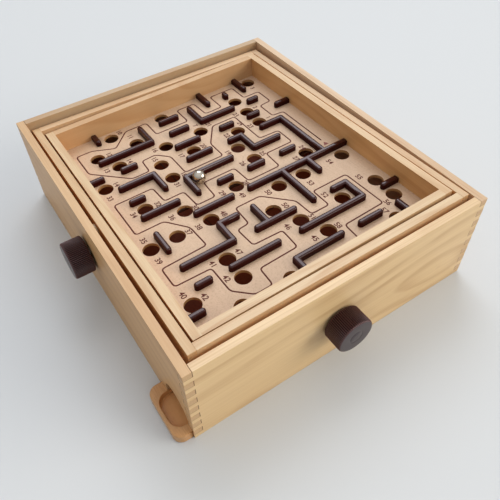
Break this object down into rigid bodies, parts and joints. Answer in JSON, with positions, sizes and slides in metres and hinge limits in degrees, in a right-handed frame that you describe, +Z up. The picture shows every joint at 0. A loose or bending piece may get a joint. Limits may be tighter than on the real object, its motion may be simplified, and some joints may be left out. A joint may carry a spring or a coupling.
{
  "type": "tilting labyrinth game",
  "caption": "Wooden labyrinth game box: two nested frames tilt a maze board with holes, driven by side knobs, with a steel ball and a ball tray.",
  "frame": {"origin": "middle of the whole object's footprint on the table, knobs included", "axes": "+Z up, -Y out of the front wall with the front knob, -X out of the left wall with the other knob and the ball tray"},
  "size_m": [0.3072, 0.3512, 0.0976],
  "materials": {
    "pine_wall": "clear satin lacquer",
    "pine_rail": "clear satin lacquer",
    "hardboard": "smooth pressed face",
    "beech": "oiled",
    "printed_board": "printed and lacquered",
    "strip_plastic": "glossy moulded",
    "knob_plastic": "ribbed, satin moulded",
    "polished_steel": "polished",
    "plain_steel": "bright drawn",
    "natural_nylon": "plain moulded",
    "cord": "waxed braid"
  },
  "bodies": {
    "box": {"front_wall": "pine_wall", "back_wall": "pine_wall", "left_wall": "pine_wall", "right_wall": "pine_wall", "sloped_deck": "hardboard", "deck_cleats": "pine_wall", "ball_tray": "beech", "outer_pivot_pins": "plain_steel", "outer_pivot_spacers": "natural_nylon"},
    "outer_frame": {"outer_front_rail": "pine_rail", "outer_back_rail": "pine_rail", "outer_left_rail": "pine_rail", "outer_right_rail": "pine_rail", "inner_pivot_pins": "plain_steel", "inner_pivot_spacers": "natural_nylon", "outer_cord_eyes": "plain_steel", "outer_cord_spring": "plain_steel", "outer_cord": "cord"},
    "inner_frame": {"inner_front_rail": "pine_rail", "inner_back_rail": "pine_rail", "inner_left_rail": "pine_rail", "inner_right_rail": "pine_rail", "maze_board": "printed_board", "straight_strips": "strip_plastic", "angled_strips": "strip_plastic", "board_brads": "plain_steel", "inner_cord_eyes": "plain_steel", "inner_cord_spring": "plain_steel", "inner_cord": "cord"},
    "steel_ball": {"steel_ball": "polished_steel"},
    "left_drive": {"left_shaft": "plain_steel", "left_knob": "knob_plastic", "left_knob_washer": "plain_steel", "left_shaft_collar": "plain_steel"},
    "front_drive": {"front_shaft": "plain_steel", "front_knob": "knob_plastic", "front_knob_washer": "plain_steel", "front_shaft_collar": "plain_steel"}
  },
  "joints": [
    {"name": "outer_tilt", "type": "hinge", "parent": "box", "child": "outer_frame", "pos_m": [0.0101, 0.0101, 0.0805], "axis": [1, 0, 0], "range_deg": [-2.3, 5.7], "deforming": ["outer_cord"]},
    {"name": "inner_tilt", "type": "hinge", "parent": "outer_frame", "child": "inner_frame", "pos_m": [0.0101, 0.0101, 0.0805], "axis": [0, 0.9996, -0.0297], "range_deg": [-2.9, 5.1], "deforming": ["inner_cord"]},
    {"name": "ball_roll", "type": "slide", "parent": "inner_frame", "child": "steel_ball", "axis": [0.9998, 0.0006, 0.0192], "range_m": [0, 0.04]},
    {"name": "left_knob_turn", "type": "hinge", "parent": "box", "child": "left_drive", "pos_m": [-0.1334, 0.0166, 0.053], "axis": [1, 0, 0], "range_deg": [-23, 57]},
    {"name": "front_knob_turn", "type": "hinge", "parent": "box", "child": "front_drive", "pos_m": [0.0021, -0.1554, 0.0465], "axis": [0, 1, 0], "range_deg": [-36, 63]}
  ],
  "couplings": [
    {"joint": "left_knob_turn", "follows": "outer_tilt", "ratio": 9.85},
    {"joint": "front_knob_turn", "follows": "inner_tilt", "ratio": 12.23}
  ]
}
